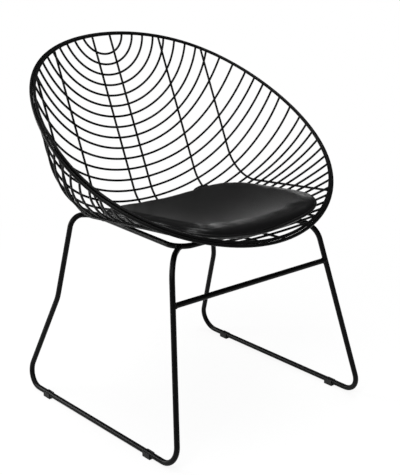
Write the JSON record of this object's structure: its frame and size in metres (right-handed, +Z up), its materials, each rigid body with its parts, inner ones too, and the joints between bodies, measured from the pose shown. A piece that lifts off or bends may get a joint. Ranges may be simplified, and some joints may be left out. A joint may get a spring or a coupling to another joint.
{
  "type": "wire shell chair",
  "caption": "Low-armed tub chair with a welded wire mesh shell in a double rod rim, bent rod sled legs and a loose dished seat pad",
  "frame": {"origin": "centre of the footprint, on the floor under the glides", "axes": "+Z up, -Y the front the sitter faces, +X the sitter's left"},
  "size_m": [0.6782, 0.611, 0.7946],
  "materials": {
    "black_rod": "black powder coat, satin",
    "glide_plastic": "moulded black plastic",
    "pad_leatherette": "black leatherette, soft sheen",
    "pad_foam": "cut foam, hidden by the cover"
  },
  "bodies": {
    "frame": {"rim_rod_inner": "black_rod", "rim_rod_outer": "black_rod", "long_wire_centre_left": "black_rod", "long_wire_centre_right": "black_rod", "long_wire_middle_left": "black_rod", "long_wire_middle_right": "black_rod", "long_wire_outer_left": "black_rod", "long_wire_outer_right": "black_rod", "cross_wire_01": "black_rod", "cross_wire_02": "black_rod", "cross_wire_03": "black_rod", "cross_wire_04": "black_rod", "cross_wire_05": "black_rod", "cross_wire_06": "black_rod", "cross_wire_07": "black_rod", "cross_wire_08": "black_rod", "cross_wire_09": "black_rod", "cross_wire_10": "black_rod", "cross_wire_11": "black_rod", "cross_wire_12": "black_rod", "cross_wire_13": "black_rod", "cross_wire_14": "black_rod", "cross_wire_15": "black_rod", "cross_wire_16": "black_rod", "cross_wire_17": "black_rod", "cross_wire_18": "black_rod", "cross_wire_19": "black_rod", "cross_wire_20": "black_rod", "cross_wire_21": "black_rod", "cross_wire_22": "black_rod", "cross_wire_23": "black_rod", "cross_wire_24": "black_rod", "cross_wire_25": "black_rod", "cross_wire_26": "black_rod", "cross_wire_27": "black_rod", "cross_wire_28": "black_rod", "cross_wire_29": "black_rod", "cross_wire_30": "black_rod", "cross_wire_31": "black_rod", "cross_wire_32": "black_rod", "seat_support_rod": "black_rod", "leg_frame_left": "black_rod", "leg_frame_right": "black_rod", "cross_bar": "black_rod", "glide_front_left": "glide_plastic", "glide_front_right": "glide_plastic", "glide_rear_left": "glide_plastic", "glide_rear_right": "glide_plastic"},
    "seat_pad": {"pad_cover": "pad_leatherette", "pad_foam_core": "pad_foam"}
  },
  "joints": [
    {"name": "pad_lift", "type": "slide", "parent": "frame", "child": "seat_pad", "axis": [0, 0, 1], "range_m": [0, 0.45]}
  ]
}
